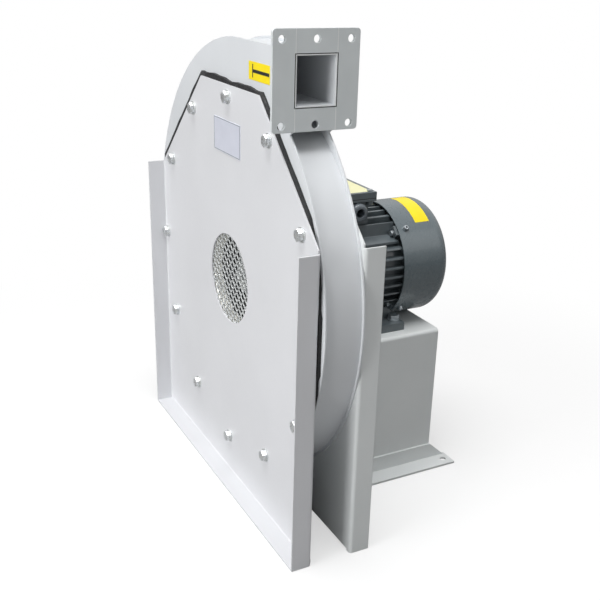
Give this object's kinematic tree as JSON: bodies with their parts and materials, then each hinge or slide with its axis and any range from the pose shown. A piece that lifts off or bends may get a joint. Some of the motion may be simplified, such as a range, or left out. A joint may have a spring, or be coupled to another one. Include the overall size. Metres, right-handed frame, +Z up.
{
  "type": "industrial centrifugal blower",
  "caption": "Narrow high pressure centrifugal blower: sheet steel scroll between folded panels, closed impeller driven by a foot mounted motor on a folded stool.",
  "frame": {"origin": "middle of the base of the bounding box, on the floor", "axes": "+X towards the outlet flange, +Y from the inlet panel to the motor, +Z up"},
  "size_m": [0.5188, 0.321, 0.6055],
  "materials": {
    "casing_paint": "smooth light grey powder coat",
    "panel_paint": "smooth light grey powder coat",
    "flange_paint": "light grey powder coat",
    "stool_paint": "light grey powder coat",
    "zinc_steel": "bright zinc plate",
    "galvanised_mesh": "galvanised",
    "wheel_steel": "bare steel sheet",
    "gasket_rubber": "matt black",
    "felt": "pressed felt",
    "plate_aluminium": "satin, bare",
    "machined_steel": "machined",
    "core_steel": "stacked laminations",
    "copper_winding": "varnished copper",
    "motor_paint": "dark blue grey enamel on a casting",
    "cowl_paint": "dark blue grey enamel on sheet steel",
    "black_plastic": "moulded",
    "gland_plastic": "moulded",
    "board_plastic": "moulded"
  },
  "bodies": {
    "casing": {"front_panel": "panel_paint", "panel_gasket": "gasket_rubber", "panel_bolts": "zinc_steel", "panel_washers": "zinc_steel", "panel_rivet_nuts": "zinc_steel", "inlet_mesh": "galvanised_mesh", "inlet_nozzle": "wheel_steel", "nameplate": "plate_aluminium", "scroll_front_cheek": "casing_paint", "scroll_wrap": "casing_paint", "scroll_rear_cheek": "casing_paint", "outlet_strip_left": "flange_paint", "outlet_strip_right": "flange_paint", "outlet_strip_top": "flange_paint", "outlet_strip_bottom": "flange_paint", "rear_panel": "stool_paint", "seal_plate": "stool_paint", "shaft_seal": "felt", "front_bearing": "machined_steel", "rear_bearing": "machined_steel", "stator_core": "core_steel", "stator_windings": "copper_winding", "motor_frame": "motor_paint", "drive_end_shield": "motor_paint", "rear_end_shield": "motor_paint", "shield_screws": "zinc_steel", "fan_cowl": "cowl_paint", "cowl_screws": "zinc_steel", "terminal_box_base": "motor_paint", "lid_gasket": "gasket_rubber", "terminal_box_lid": "motor_paint", "lid_screws": "zinc_steel", "terminal_board": "board_plastic", "cable_gland": "gland_plastic", "blanking_plug": "black_plastic", "foot_bolts": "zinc_steel", "foot_washers": "zinc_steel", "foot_nuts": "zinc_steel", "stool": "stool_paint", "foot_angle_left": "stool_paint", "foot_angle_right": "stool_paint"},
    "rotor": {"impeller_back_plate": "wheel_steel", "impeller_front_shroud": "wheel_steel", "impeller_blades": "wheel_steel", "impeller_hub": "machined_steel", "hub_rivets": "zinc_steel", "hub_washer": "zinc_steel", "hub_bolt": "zinc_steel", "motor_shaft": "machined_steel", "shaft_key": "machined_steel", "bearing_inner_rings": "machined_steel", "rotor_core": "core_steel", "cooling_fan": "black_plastic"}
  },
  "joints": [
    {"name": "rotor_spin", "type": "hinge", "parent": "casing", "child": "rotor", "pos_m": [0.01224, 0, 0.284], "axis": [0, 1, 0], "continuous": true}
  ]
}
